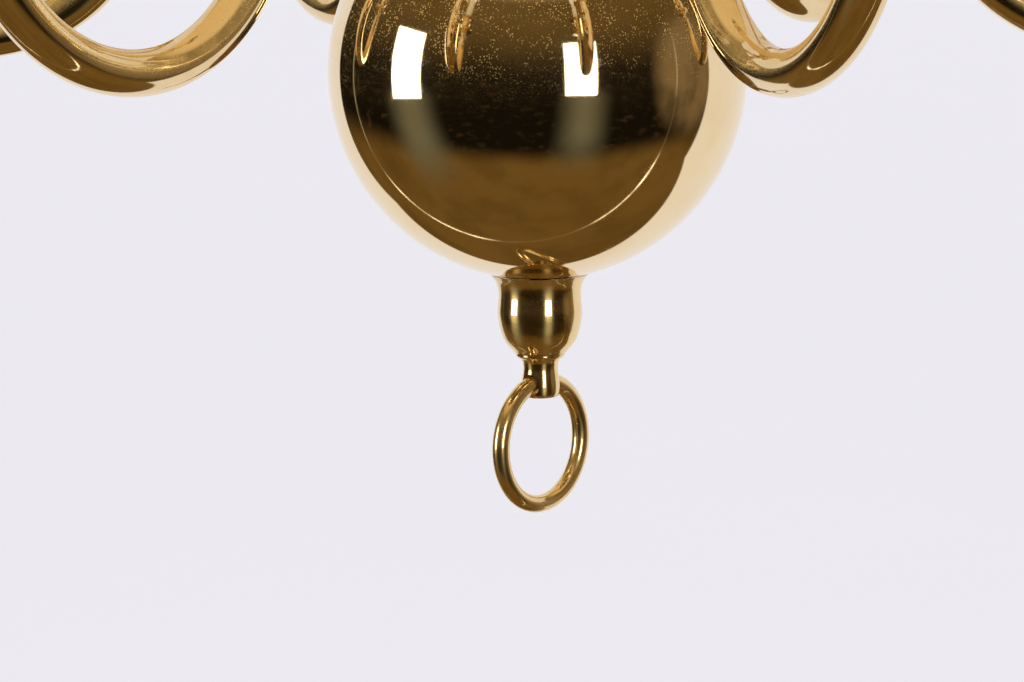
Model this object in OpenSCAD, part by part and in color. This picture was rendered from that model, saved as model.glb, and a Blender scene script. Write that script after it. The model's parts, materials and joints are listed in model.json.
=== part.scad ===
// Hanging brass ball chandelier with six curved arms and electric candles.
// Millimetres, +Z up. The origin is the middle of the ceiling bracket's top face, so everything is below z = 0.
// Heights named *_z in the ball, stem, arm and candle sections are measured from the ball's centre.

/* [Ball] */
// Radius of the ball
ball_r = 110; // [108:1:112]
// Wall of the spun ball
ball_wall = 1.2; // [0.8:0.1:2]
// Height of the flat seat at each pole, from the ball's centre, below its radius
ball_flat = 1; // [0.6:0.1:1.5]

/* [Arms] */
// Direction of the first arm, seen from above, anticlockwise from +X
first_arm = -67; // [-90:1:-31]
// How far each arm stands off its even 60 degree place, as the hub was drilled
arm_set = [-2, 1, 3, 1, 3, 0]; // [-4:1:4]
// Outer radius of the arm tube
tube_r = 11; // [9:0.5:12]
// Wall of the arm tube
tube_wall = 1.5; // [1:0.1:2]
// Distance of the bowl's lowest point from the chandelier's axis
bowl_r = 299; // [290:1:320]
// Height of the tube's centreline at the bowl's lowest point, above the ball's centre
bowl_z = 19.2; // [10:0.1:30]
// Radius of the quarter bend on the hub side of the bowl
bowl_in = 93; // [90:1:96]
// Radius of the quarter bend on the candle side of the bowl
bowl_out = 107; // [104:1:110]
// Radius of the arch that carries the arm over towards the hub
arch_r = 68; // [66:1:70]
// Straight part of the strand between bowl and arch
strand_len = 18.3; // [16.3:0.5:20.3]

/* [Candles] */
// Radius of the drip pan
pan_r = 30; // [26:1:36]
// Radius of the flared lip of the candle cup
lip_r = 27; // [22:1:30]
// Outer radius of the candle sleeve
sleeve_r = 12; // [11.8:0.1:12.1]
// Height of the candle sleeve
sleeve_h = 105; // [100:1:120]
// Largest radius of the bulb
bulb_r = 17.5; // [16:0.5:19]

/* [Hub and stem] */
// Outer radius of the hub's drum
hub_r = 42; // [41:0.5:44]
// Radius of the vase's belly
vase_r = 29; // [24:1:34]
// Radius of the knop
knop_r = 24; // [20:1:28]

/* [Pull ring] */
// Radius of the ring, centre to middle of its wire
ring_r = 33; // [30:0.5:34]
// Radius of the ring's wire
ring_wire = 4.6; // [4:0.1:4.7]
// Direction of the cross hole, seen from above, anticlockwise from +X
ring_turn = 50; // [0:5:180]

/* [Suspension] */
// Radius of the ceiling rose
canopy_r = 62; // [58:1:75]
// Distance between the two ceiling screws
screw_gap = 76; // [70:1:80]
// Radius of the wire of a chain link
link_wire = 2.5; // [2:0.1:3]
// Length of a chain link between the middles of its end bars
link_len = 40; // [36:1:60]

/* [Hidden] */
$fn = 72;
arms = 6;
arm_step = 360 / arms;

// Threaded tube that holds every joint: outer radius, bore, and the plain hole around it
thread_r = 5;
thread_bore = 3.5;
thread_hole = 5.2;
nut_h = 5;
nut_r = 8;

// Ball seats
flat_z = ball_r - ball_flat;

// Arm centreline, in the arm's own vertical plane: distances from the axis and heights
strand_r = bowl_r - bowl_in;
strand_z = bowl_z + bowl_in;
candle_r = bowl_r + bowl_out;
candle_z = bowl_z + bowl_out;
arm_top = candle_z + 10.8;
arch_z = strand_z + strand_len;
boss_out = 2;
collar_t = 5;
root_start = hub_r + boss_out + collar_t;

// The arch runs past level by this angle, then the root bends back by it: a 3-4-5 slope
turn_sin = 0.8;
turn_cos = 0.6;
arch_turn = asin(turn_sin);
root_r = (strand_r - arch_r - root_start) / turn_sin - arch_r;
hub_z = arch_z + arch_r * turn_cos - root_r * (1 - turn_cos);

// The arm is bent from two lengths of tube that meet under the ferrule, on an inner sleeve
joint_gap = 0.4;
joint_half = 6;

// Stack of the body above the ball
neck_top = hub_z - 22.5;
hub_floor = 4;
hub_top = hub_z + 21.5;
hub_wall = 4;
cap_top = hub_top + 11;
vase_top = cap_top + 110;
knop_top = vase_top + 44;
bell_top = knop_top + 48;
loop_top = bell_top + 14;

// Finial under the ball: heights below the ball's centre
cup_top = 107.3;
cup_bottom = 149;
disc_bottom = 152.6;
boss_bottom = 173.4;

// The ring hangs through a straight hole; its middle is this far below the hole's axis
hole_z = 166.2;
ring_drop = ring_r - 1;
boss_r = 10.1;
ring_clear = 0.35;
// The hole clears the ring's top in the middle of the boss and its inner curve at the boss's face
hole_r = max(ring_r + ring_wire - ring_drop, ring_drop - sqrt(pow(ring_r - ring_wire, 2) - boss_r * boss_r))
    + ring_clear;

// Loops and chain: each bar hangs link_gap clear of the bar that holds it
loop_r = 15;
loop_wire = 3.5;
link_gap = 0.3;
link_half = 10;
canopy_h = 46;
collar_h = 14;
loop_sink = 1.5;
top_loop_z = -canopy_h - collar_h + loop_sink - loop_wire - loop_r;
link_1_z = top_loop_z - loop_r + loop_wire + link_wire + link_gap;
link_step = link_len - 2 * link_wire - link_gap;
stem_loop_z = link_1_z - 2 * link_step - link_len + loop_wire + link_wire + link_gap - loop_r;
ball_z = stem_loop_z - loop_r - loop_wire + loop_sink - loop_top;

// Candle stack: heights above the arm's open end
end_flange = 3;
pan_seat = arm_top + end_flange;
cup_seat = pan_seat + 18;
sleeve_z = cup_seat + 18;
sleeve_top = sleeve_z + sleeve_h;
holder_top = sleeve_top - 2;
holder_r = 10.2;
socket_r = 7.2;
socket_deep = 26;
holder_z = holder_top - 47;
bulb_seat = sleeve_top - 0.5;

// ---- Helpers ----

// A smooth curve through knots, as points: a cubic between each two knots, steps points to a span
function smooth(knots, steps = 5) = [
    for (i = [0:len(knots) - 2], k = [0:steps - 1])
        let (
            t = k / steps,
            a = knots[max(i - 1, 0)],
            b = knots[i],
            c = knots[i + 1],
            d = knots[min(i + 2, len(knots) - 1)]
        )
        (2 * b + (c - a) * t + (2 * a - 5 * b + 4 * c - d) * t * t + (3 * b - a - 3 * c + d) * t * t * t) / 2,
    knots[len(knots) - 1]
];

// Solid of revolution whose side is the given [radius, height] points, closed on the axis
module turned(side) {
    rotate_extrude()
        polygon(concat([[0, side[0][1]]], side, [[0, side[len(side) - 1][1]]]));
}

// Hollow turned piece: the side less a wall, with a plate at both ends and a plain hole on the axis
module turned_shell(side, wall) {
    low = side[0][1];
    high = side[len(side) - 1][1];
    room = [for (p = side) if (p[1] > low + wall && p[1] < high - wall) [max(p[0] - wall, thread_hole), p[1]]];
    difference() {
        turned(side);
        translate([0, 0, low - 1])
            cylinder(r = thread_hole, h = high - low + 2);
        turned(room);
    }
}

// Plain tube along Z
module tube(r, bore, h) {
    difference() {
        cylinder(r = r, h = h);
        translate([0, 0, -1])
            cylinder(r = bore, h = h + 2);
    }
}

// Hexagon nut along Z
module nut(r = nut_r, h = nut_h) {
    difference() {
        cylinder(r = r, h = h, $fn = 6);
        translate([0, 0, -1])
            cylinder(r = thread_r, h = h + 2);
    }
}

// Lies along +X instead of +Z
module radial() {
    rotate([0, 90, 0])
        children();
}

module from_ball() {
    translate([0, 0, ball_z])
        children();
}

function arm_angle(i) = first_arm + arm_step * (i - 1) + arm_set[i - 1];

// Places a piece drawn in the X-Z plane on arm i
module on_arm(i) {
    from_ball()
        rotate([0, 0, arm_angle(i)])
            children();
}

module on_every_arm() {
    for (i = [1:arms])
        on_arm(i)
            children();
}

// Cross-section of a tube or, with no bore, of a round bar
module section(r, bore) {
    difference() {
        circle(r = r);
        if (bore > 0)
            circle(r = bore);
    }
}

// Bent tube in the X-Z plane: centre [x, z], bend radius, the angle it starts at and how far it turns;
// a negative turn runs the other way round
module bend(centre, radius, from, turn, r, bore) {
    translate([centre[0], 0, centre[1]])
        rotate([90, 0, 0])
            rotate([0, 0, from])
                mirror([0, turn < 0 ? 1 : 0, 0])
                    rotate_extrude(angle = abs(turn))
                        translate([radius, 0])
                            section(r, bore);
}

module upright(x, low, high, r, bore) {
    translate([x, 0, low])
        linear_extrude(high - low)
            section(r, bore);
}

// The whole run of an arm as a bar or tube of the given section, open by joint_gap under the ferrule;
// both bends of the neck start at the plane they share
module arm_run(r, bore) {
    bend([root_start, hub_z + root_r], root_r, arch_turn - 90, -arch_turn, r, bore);
    bend([strand_r - arch_r, arch_z], arch_r, arch_turn + 90, -arch_turn - 90, r, bore);
    upright(strand_r, strand_z, arch_z - joint_gap, r, bore);
    bend([bowl_r, strand_z], bowl_in, 180, 90, r, bore);
    bend([bowl_r, candle_z], bowl_out, 270, 90, r, bore);
    upright(candle_r, candle_z, arm_top, r, bore);
}

// Closed loop of round wire in the X-Z plane, centred on the given height
module wire_loop(radius, wire, z) {
    translate([0, 0, z])
        rotate([90, 0, 0])
            rotate_extrude()
                translate([radius, 0])
                    circle(r = wire);
}

// ---- Suspension ----

module ceiling_bracket() {
    strap = [104, 22, 3];
    color("silver")
        difference() {
            translate([-strap[0] / 2, -strap[1] / 2, -strap[2]])
                cube(strap);
            for (x = [-screw_gap / 2, screw_gap / 2])
                translate([x, 0, -strap[2] - 1])
                    cylinder(r = 2.5, h = strap[2] + 2);
            translate([0, 0, -strap[2] - 1])
                cylinder(r = thread_r, h = strap[2] + 2);
        }
}

module canopy_nipple() {
    color("silver")
        translate([0, 0, -52])
            tube(thread_r, thread_bore, 51);
}

module canopy_nut() {
    color("silver")
        translate([0, 0, -3 - nut_h])
            nut(9.2);
}

module terminal_block() {
    block = [24, 14, 12];
    color("ivory")
        translate([18, -block[1] / 2, -3 - block[2]])
            difference() {
                cube(block);
                for (x = [4, 12, 20])
                    translate([x, -1, 5])
                        rotate([-90, 0, 0])
                            cylinder(r = 1.6, h = block[1] + 2);
            }
}

module canopy() {
    wall = 1.2;
    side = concat(
        [[14, -canopy_h]],
        smooth([[14, -canopy_h + 2], [18, -40], [30, -34], [48, -24], [canopy_r - 4, -10], [canopy_r - 2, -5]]),
        [[canopy_r, -3.5], [canopy_r, 0]]
    );
    room = [for (p = side) if (p[1] > wall - canopy_h) [p[0] - wall, p[1]]];
    color("gold")
        difference() {
            turned(side);
            turned(concat([[room[0][0], wall - canopy_h]], room, [[canopy_r - wall, 1]]));
            translate([0, 0, -canopy_h - 1])
                cylinder(r = thread_hole, h = 5);
        }
}

// Screw collar with a wire loop, drawn with the collar from z = 0 up and the loop over it
module loop_collar() {
    difference() {
        union() {
            turned(concat(
                [[12, 0]],
                smooth([[13.5, 1.5], [13.5, 4], [9.5, 7.5], [8.5, 10.5], [6.5, 13]], 4),
                [[5, collar_h]]
            ));
            wire_loop(loop_r, loop_wire, collar_h - loop_sink + loop_wire + loop_r);
        }
        translate([0, 0, -1])
            cylinder(r = thread_r, h = 11);
        // Side hole where the flex comes out
        translate([0, 0, 7.6])
            rotate([90, 0, 0])
                cylinder(r = 2.4, h = 20);
    }
}

module canopy_loop() {
    color("gold")
        translate([0, 0, -canopy_h])
            mirror([0, 0, 1])
                loop_collar();
}

// Oval wire link whose top bar's middle is at z = 0; odd links stand across X
module chain_link(top_z, turn) {
    straight = link_len - 2 * link_half;
    color("gold")
        translate([0, 0, top_z - link_half])
            rotate([0, 0, turn]) {
                bend([0, 0], link_half, 0, 180, link_wire, 0);
                bend([0, -straight], link_half, 180, 180, link_wire, 0);
                for (x = [-link_half, link_half])
                    upright(x, -straight, 0, link_wire, 0);
            }
}

// ---- Body ----

module stem_loop() {
    color("gold")
        from_ball()
            translate([0, 0, bell_top])
                loop_collar();
}

module stem_cap() {
    color("gold")
        from_ball()
            turned_shell(concat(
                [[13, knop_top]],
                smooth([[15, knop_top + 2], [25, knop_top + 5], [28, knop_top + 9], [25, knop_top + 14],
                    [15, knop_top + 24], [11, knop_top + 34], [14, knop_top + 40], [11, knop_top + 45]]),
                [[10, bell_top]]
            ), 2.5);
}

module stem_knop() {
    color("gold")
        from_ball()
            turned_shell(concat(
                [[13, vase_top], [14.5, vase_top + 2]],
                smooth([[14, vase_top + 4], [20, vase_top + 9], [knop_r, vase_top + 22], [20, vase_top + 35],
                    [14, vase_top + 40]], 6),
                [[14.5, knop_top - 2], [13, knop_top]]
            ), 2.5);
}

module stem_vase() {
    color("gold")
        from_ball()
            turned_shell(concat(
                [[22, cap_top]],
                smooth([[22.5, cap_top + 2], [20, cap_top + 5], [12, cap_top + 12], [12, cap_top + 18],
                    [22, cap_top + 34], [vase_r, cap_top + 56], [22, cap_top + 78], [11, cap_top + 95],
                    [12, cap_top + 102], [16, cap_top + 106]]),
                [[14, vase_top]]
            ), 2.5);
}

module hub_cap() {
    spigot_h = 3;
    color("gold")
        from_ball()
            difference() {
                union() {
                    translate([0, 0, hub_top - spigot_h])
                        cylinder(r = hub_r - hub_wall - 0.2, h = spigot_h);
                    turned(concat(
                        [[hub_r - 2, hub_top]],
                        smooth([[hub_r - 1, hub_top + 1.5], [hub_r - 3, hub_top + 3], [32, hub_top + 5],
                            [25, hub_top + 8]], 4),
                        [[23.5, cap_top]]
                    ));
                }
                translate([0, 0, hub_top - spigot_h - 1])
                    cylinder(r = thread_hole, h = 20);
                translate([0, 0, hub_top - spigot_h - 1])
                    cylinder(r = hub_r - hub_wall - 3, h = spigot_h + 2);
            }
}

module hub() {
    boss_r = 15;
    color("gold")
        from_ball()
            difference() {
                union() {
                    turned(concat(
                        [[34, neck_top]],
                        smooth([[37, neck_top + 1], [40.5, neck_top + 4], [hub_r, neck_top + 7]], 4),
                        smooth([[hub_r, hub_top - 6], [hub_r - 1, hub_top - 2]], 2),
                        [[hub_r - 2, hub_top]]
                    ));
                    for (i = [1:arms])
                        rotate([0, 0, arm_angle(i)])
                            translate([hub_r - hub_wall, 0, hub_z])
                                radial()
                                    cylinder(r = boss_r, h = hub_wall + boss_out);
                }
                translate([0, 0, neck_top + hub_floor])
                    cylinder(r = hub_r - hub_wall, h = 60);
                translate([0, 0, neck_top - 1])
                    cylinder(r = thread_hole, h = 10);
                for (i = [1:arms])
                    rotate([0, 0, arm_angle(i)])
                        translate([hub_r - 10, 0, hub_z])
                            radial()
                                cylinder(r = thread_hole, h = 20);
            }
}

module ball_neck() {
    skirt_r = 31;
    skirt_z = sqrt(ball_r * ball_r - skirt_r * skirt_r) + 0.3;
    color("gold")
        from_ball()
            difference() {
                turned(concat(
                    [[14, flat_z], [14, flat_z + 1.5], [29, skirt_z + 2], [skirt_r - 1, skirt_z], [skirt_r, skirt_z]],
                    smooth([[skirt_r + 0.5, skirt_z + 1.5], [skirt_r - 2, skirt_z + 4], [20, skirt_z + 8],
                        [17, skirt_z + 12.5], [20, skirt_z + 17.5], [28, skirt_z + 21.3]], 5),
                    [[33, neck_top - 2], [33.5, neck_top]]
                ));
                translate([0, 0, flat_z - 1])
                    cylinder(r = thread_hole, h = 60);
            }
}

module ball() {
    color("gold")
        from_ball()
            difference() {
                intersection() {
                    sphere(r = ball_r, $fn = 180);
                    cube([3 * ball_r, 3 * ball_r, 2 * flat_z], center = true);
                }
                intersection() {
                    sphere(r = ball_r - ball_wall, $fn = 180);
                    cube([3 * ball_r, 3 * ball_r, 2 * (flat_z - 2)], center = true);
                }
                cylinder(r = thread_hole, h = 3 * ball_r, center = true);
            }
}

module bottom_cup() {
    wall = 1.6;
    plate = 2.4;
    side = concat(
        [[14, -cup_bottom]],
        smooth([[14.9, -147.8], [18.6, -143.4], [20.8, -138], [22.1, -132], [22.5, -127], [22.1, -122], [21.9, -118],
            [22.3, -114.4], [23.4, -111], [25.2, -108.4]], 6),
        [[26.2, -cup_top]]
    );
    room_top = -flat_z - plate;
    room = concat(
        [for (p = side) if (p[1] > -cup_bottom + 3 && p[1] < room_top - 0.2) [p[0] - wall, p[1]]],
        [[21.5, room_top]]
    );
    color("gold")
        from_ball()
            difference() {
                union() {
                    difference() {
                        turned(side);
                        // Dish above the plate, clear of the ball
                        turned([[20, -flat_z], [25.4, -cup_top + 0.01], [25.4, 0]]);
                        sphere(r = ball_r + 0.2, $fn = 180);
                    }
                    translate([0, 0, -flat_z - plate])
                        cylinder(r = 12, h = plate);
                }
                turned(room);
                translate([0, 0, -cup_bottom - 1])
                    cylinder(r = thread_hole, h = 60);
            }
}

module bead_disc() {
    color("gold")
        from_ball()
            difference() {
                turned(concat(
                    [[10.6, -disc_bottom]],
                    smooth([[11.6, -152.2], [12.7, -151.3], [13.1, -150.4], [12.8, -149.5]], 4),
                    [[11.8, -cup_bottom]]
                ));
                translate([0, 0, -disc_bottom - 1])
                    cylinder(r = thread_hole, h = 6);
            }
}

module ring_boss() {
    color("gold")
        from_ball()
            difference() {
                turned(concat(
                    smooth([[6, -boss_bottom], [8.4, -173.1], [9.6, -172], [boss_r, -169.5], [boss_r, -166],
                        [9.7, -162], [9.2, -158], [9.6, -154.5]], 4),
                    [[10.6, -disc_bottom]]
                ));
                translate([0, 0, -159.4])
                    cylinder(r = thread_r, h = 12);
                translate([0, 0, -hole_z])
                    rotate([0, 0, ring_turn])
                        rotate([0, 90, 0])
                            cylinder(r = hole_r, h = 3 * boss_r, center = true);
            }
}

module pull_ring() {
    color("gold")
        from_ball()
            rotate([0, 0, ring_turn])
                wire_loop(ring_r, ring_wire, -hole_z - ring_drop);
}

// ---- Inside the body ----

module tie_rod() {
    low = -159.2;
    color("silver")
        from_ball()
            difference() {
                translate([0, 0, low])
                    tube(thread_r, thread_bore, bell_top + 5 - low);
                // Hole where the arm leads leave the rod, inside the hub
                translate([0, 0, hub_top - 8])
                    radial()
                        cylinder(r = 2.5, h = 12);
            }
}

module rod_nuts() {
    color("silver")
        from_ball() {
            translate([0, 0, neck_top + hub_floor])
                nut(9.2);
            translate([0, 0, -flat_z - 2.4 - nut_h])
                nut(9.2);
        }
}

// One block between each pair of arms; their leads come up into it from below
module wire_connectors() {
    block = [13, 26, 12];
    color("ivory")
        from_ball()
            for (i = [1:2:arms - 1])
                rotate([0, 0, (arm_angle(i) + arm_angle(i + 1)) / 2])
                    translate([13, -block[1] / 2, hub_z + 4])
                        difference() {
                            cube(block);
                            for (y = [5, 13, 21])
                                translate([4, y, 7])
                                    cylinder(r = 1.6, h = 10);
                        }
}

module arm_nipples() {
    low = hub_r - 11.5;
    color("silver")
        on_every_arm()
            translate([low, 0, hub_z])
                radial()
                    tube(thread_r, thread_bore, root_start + collar_t - low);
}

module arm_nuts() {
    inner = hub_r - hub_wall;
    face = sqrt(inner * inner - nut_r * nut_r);
    color("silver")
        on_every_arm()
            translate([face - nut_h, 0, hub_z])
                radial()
                    nut();
}

// ---- Arms ----

module arm(i) {
    color("gold")
        on_arm(i) {
            arm_run(tube_r, tube_r - tube_wall);
            upright(strand_r, arch_z - joint_half, arch_z + joint_half, tube_r - 1, tube_r - tube_wall - 0.9);
        }
}

module arm_root_collars() {
    color("gold")
        on_every_arm()
            translate([root_start - collar_t, 0, hub_z])
                radial()
                    difference() {
                        union() {
                            turned(concat(
                                [[13, 0]],
                                smooth([[14, 0.8], [14, 2], [12.8, 3.4]], 4),
                                [[12, collar_t]]
                            ));
                            cylinder(r = tube_r - tube_wall - 0.6, h = 2 * collar_t);
                        }
                        translate([0, 0, -1])
                            cylinder(r = thread_r, h = 20);
                    }
}

module arm_ferrules() {
    color("gold")
        on_every_arm()
            translate([strand_r, 0, arch_z - 7.4])
                difference() {
                    turned(concat(
                        [[11.6, 0]],
                        smooth([[12.6, 0.8], [12.6, 2.4], [12, 4], [12.6, 5.6], [12.6, 7.2]], 3),
                        [[11.6, 8]]
                    ));
                    translate([0, 0, -1])
                        cylinder(r = tube_r + 0.1, h = 20);
                }
}

module arm_end_collars() {
    color("gold")
        on_every_arm()
            translate([candle_r, 0, arm_top])
                difference() {
                    turned(concat(
                        [[12, -5.5]],
                        smooth([[13.2, -4.4], [13.2, -1.6], [11.8, 0], [10.6, 1.4]], 4),
                        [[10, end_flange]]
                    ));
                    translate([0, 0, -10])
                        cylinder(r = tube_r + 0.1, h = 10);
                    cylinder(r = thread_r, h = 20);
                }
}

module arm_wires() {
    lead_r = 1.7;
    lead_end = 20;
    // Heavier sheath through the hub, over the start of the bend
    sheath_r = 2.2;
    sheath_over = 3;
    // Crimp that joins the two lengths of lead at the arm's own joint
    crimp_r = 2.4;
    crimp_half = 5;
    color("white")
        on_every_arm() {
            arm_run(lead_r, 0);
            upright(strand_r, arch_z - crimp_half, arch_z + crimp_half, crimp_r, 0);
            translate([lead_end, 0, hub_z])
                radial()
                    cylinder(r = sheath_r, h = root_start + sheath_over - lead_end);
            upright(lead_end + sheath_r, hub_z, hub_z + 4, lead_r - 0.2, 0);
            upright(candle_r, arm_top, holder_z, lead_r, 0);
        }
}

// ---- Candles ----

module lamp_nipples() {
    low = arm_top - nut_h - 1;
    color("silver")
        on_every_arm()
            translate([candle_r, 0, low])
                tube(thread_r, thread_bore, sleeve_z + 6 - low);
}

module lamp_nuts() {
    color("silver")
        on_every_arm()
            translate([candle_r, 0, arm_top - nut_h])
                nut();
}

module drip_pan(i) {
    z = pan_seat;
    color("gold")
        on_arm(i)
            translate([candle_r, 0, 0])
                difference() {
                    turned(concat(
                        [[9.5, z]],
                        smooth([[9.8, z + 1.5], [7.6, z + 5], [7.4, z + 9], [12, z + 14], [22, z + 16.4],
                            [pan_r - 2, z + 18.4], [pan_r, z + 21]]),
                        smooth([[pan_r - 0.6, z + 21.5], [pan_r - 2, z + 20.6], [23, z + 18.6], [15, z + 18]], 3)
                    ));
                    translate([0, 0, z - 1])
                        cylinder(r = thread_hole, h = 40);
                }
}

module candle_cup(i) {
    z = cup_seat;
    bore = sleeve_r + 0.2;
    color("gold")
        on_arm(i)
            translate([candle_r, 0, 0])
                difference() {
                    turned(concat(
                        [[11, z]],
                        smooth([[12, z + 1.2], [11.4, z + 3], [8.6, z + 6], [9, z + 10], [13.8, z + 16],
                            [18, z + 23], [18.6, z + 28], [16.6, z + 36], [15.2, z + 41], [18, z + 46],
                            [lip_r - 2, z + 49.4], [lip_r, z + 51]], 4),
                        smooth([[lip_r, z + 51.6], [lip_r - 2.5, z + 50.8], [18.4, z + 48], [14, z + 44.6],
                            [bore, z + 42]], 3)
                    ));
                    translate([0, 0, sleeve_z])
                        cylinder(r = bore, h = 60);
                    translate([0, 0, z - 1])
                        cylinder(r = thread_hole, h = 40);
                }
}

module lampholders() {
    foot_h = 3;
    color("ivory")
        on_every_arm()
            translate([candle_r, 0, 0]) {
                difference() {
                    union() {
                        translate([0, 0, sleeve_z])
                            cylinder(r = 9.6, h = foot_h);
                        // Two legs that lift the holder to the top of the sleeve
                        for (x = [-9, 6.6])
                            translate([x, -3, sleeve_z])
                                cube([2.4, 6, holder_z - sleeve_z + 1]);
                    }
                    translate([0, 0, sleeve_z - 1])
                        cylinder(r = thread_r, h = foot_h + 2);
                }
                difference() {
                    translate([0, 0, holder_z])
                        cylinder(r = holder_r, h = holder_top - holder_z);
                    translate([0, 0, holder_top - socket_deep])
                        cylinder(r = socket_r, h = socket_deep + 1);
                }
            }
}

module candle_sleeves() {
    color("ivory")
        on_every_arm()
            translate([candle_r, 0, sleeve_z])
                tube(sleeve_r, sleeve_r - 1, sleeve_h);
}

module bulb_caps() {
    cap_r = 6.9;
    low = holder_top - socket_deep + 2;
    // Rolled thread: ridges that stand out from the cap
    ridges = [for (s = [0:16]) [cap_r - 0.4 - 0.4 * cos(s * 90), low + 2 + s]];
    color("silver")
        on_every_arm()
            translate([candle_r, 0, 0]) {
                turned(concat([[4.5, low]], ridges, [[cap_r - 0.4, bulb_seat]]));
                translate([0, 0, low - 2])
                    cylinder(r = 3, h = 2);
            }
}

module bulb(i) {
    z = bulb_seat;
    wall = 0.8;
    side = smooth([[8, z], [9.4, z + 3], [13.6, z + 11], [bulb_r - 0.4, z + 21], [bulb_r, z + 29],
        [bulb_r - 1.6, z + 40], [bulb_r - 5.4, z + 53], [bulb_r - 10.3, z + 65], [3.4, z + 71.5],
        [0.01, z + 74]], 4);
    room = [for (p = side) if (p[0] > wall && p[1] > z + wall) [p[0] - wall, p[1] - (p[1] > z + 60 ? wall : 0)]];
    color("white")
        on_arm(i)
            translate([candle_r, 0, 0])
                difference() {
                    turned(side);
                    turned(room);
                }
}

// ---- Nodes ----

ceiling_bracket();
canopy_nipple();
canopy_nut();
terminal_block();
canopy();
canopy_loop();
chain_link(link_1_z, 90);  // chain_link_1
chain_link(link_1_z - link_step, 0);  // chain_link_2
chain_link(link_1_z - 2 * link_step, 90);  // chain_link_3
stem_loop();
stem_cap();
stem_knop();
stem_vase();
hub_cap();
hub();
ball_neck();
ball();
bottom_cup();
bead_disc();
ring_boss();
pull_ring();
tie_rod();
rod_nuts();
wire_connectors();
arm_nipples();
arm_nuts();
arm(1);  // arm_1
arm(2);  // arm_2
arm(3);  // arm_3
arm(4);  // arm_4
arm(5);  // arm_5
arm(6);  // arm_6
arm_root_collars();
arm_ferrules();
arm_end_collars();
arm_wires();
lamp_nipples();
lamp_nuts();
drip_pan(1);  // drip_pan_1
drip_pan(2);  // drip_pan_2
drip_pan(3);  // drip_pan_3
drip_pan(4);  // drip_pan_4
drip_pan(5);  // drip_pan_5
drip_pan(6);  // drip_pan_6
candle_cup(1);  // candle_cup_1
candle_cup(2);  // candle_cup_2
candle_cup(3);  // candle_cup_3
candle_cup(4);  // candle_cup_4
candle_cup(5);  // candle_cup_5
candle_cup(6);  // candle_cup_6
lampholders();
candle_sleeves();
bulb_caps();
bulb(1);  // bulb_1
bulb(2);  // bulb_2
bulb(3);  // bulb_3
bulb(4);  // bulb_4
bulb(5);  // bulb_5
bulb(6);  // bulb_6
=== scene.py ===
"""Looks and studio for a hanging brass ball chandelier, round its fixed CAD frame.

Laid out as a Blender add-on and run as a script. Metres, +Z up, origin on the ceiling.
Profiles are lists of (radius, height) in millimetres, heights measured from the ball's centre.
"""

import json
import math

import bpy
import numpy as np
from bpy.props import FloatProperty, IntProperty, PointerProperty
from mathutils import Matrix, Vector


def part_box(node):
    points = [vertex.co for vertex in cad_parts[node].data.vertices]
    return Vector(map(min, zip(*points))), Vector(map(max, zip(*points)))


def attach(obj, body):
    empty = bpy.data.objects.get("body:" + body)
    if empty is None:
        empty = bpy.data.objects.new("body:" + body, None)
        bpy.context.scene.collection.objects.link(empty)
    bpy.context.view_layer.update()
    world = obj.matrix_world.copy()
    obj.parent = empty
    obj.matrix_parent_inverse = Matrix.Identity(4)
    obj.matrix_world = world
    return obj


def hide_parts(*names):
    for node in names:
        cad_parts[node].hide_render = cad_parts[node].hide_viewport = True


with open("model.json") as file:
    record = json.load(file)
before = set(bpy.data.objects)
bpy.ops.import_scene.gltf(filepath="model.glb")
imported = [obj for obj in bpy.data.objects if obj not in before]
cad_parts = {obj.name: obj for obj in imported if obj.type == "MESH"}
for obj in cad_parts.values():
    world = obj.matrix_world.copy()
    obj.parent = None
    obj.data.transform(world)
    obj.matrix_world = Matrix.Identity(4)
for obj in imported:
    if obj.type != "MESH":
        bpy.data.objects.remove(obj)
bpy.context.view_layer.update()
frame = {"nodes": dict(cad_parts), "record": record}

bl_info = {
    "name": "Brass Ball Chandelier",
    "version": (1, 0, 0),
    "blender": (4, 5, 0),
    "location": "3D View > Sidebar > Chandelier",
    "description": "Surfaces, finishes and studio of a brass ball chandelier",
    "category": "Object",
}

MM = 0.001
ARMS = range(1, 7)
BODY = "chandelier"
BRASS = "brass"


def middle(node):
    """Middle of a CAD node's box, in metres."""
    low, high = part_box(node)
    return (low + high) / 2


BALL_Z = middle("ball").z


def height(node, end):
    """Lowest (end 0) or highest (end 1) point of a CAD node, in mm above the ball's centre."""
    return (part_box(node)[end].z - BALL_Z) / MM


def arm_turn(i):
    """Direction of arm i seen from above, from the place of its candle cup."""
    place = middle(f"candle_cup_{i}")
    return math.atan2(place.y, place.x)


CANDLE_R = math.hypot(*middle("candle_cup_1").xy) / MM
RING_TURN = math.radians(50)


# ---- Sizes ----


class CHAND_PG_turned(bpy.types.PropertyGroup):
    """Sizes of the turned and spun pieces."""

    segments: IntProperty(
        name="Segments",
        description="Number of flats round each turned piece",
        default=144,
        min=48,
        max=288,
    )
    ball_radius: FloatProperty(
        name="Ball radius",
        description="Outer radius of the spun ball",
        default=(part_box("ball")[1].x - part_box("ball")[0].x) / 2,
        unit="LENGTH",
    )
    ring_radius: FloatProperty(
        name="Ring radius",
        description="Radius of the pull ring to the middle of its wire",
        default=(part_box("pull_ring")[1].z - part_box("pull_ring")[0].z) / 2 - 0.0046,
        unit="LENGTH",
    )
    ring_wire: FloatProperty(
        name="Ring wire",
        description="Radius of the pull ring's wire",
        default=0.0046,
        unit="LENGTH",
    )


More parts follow.
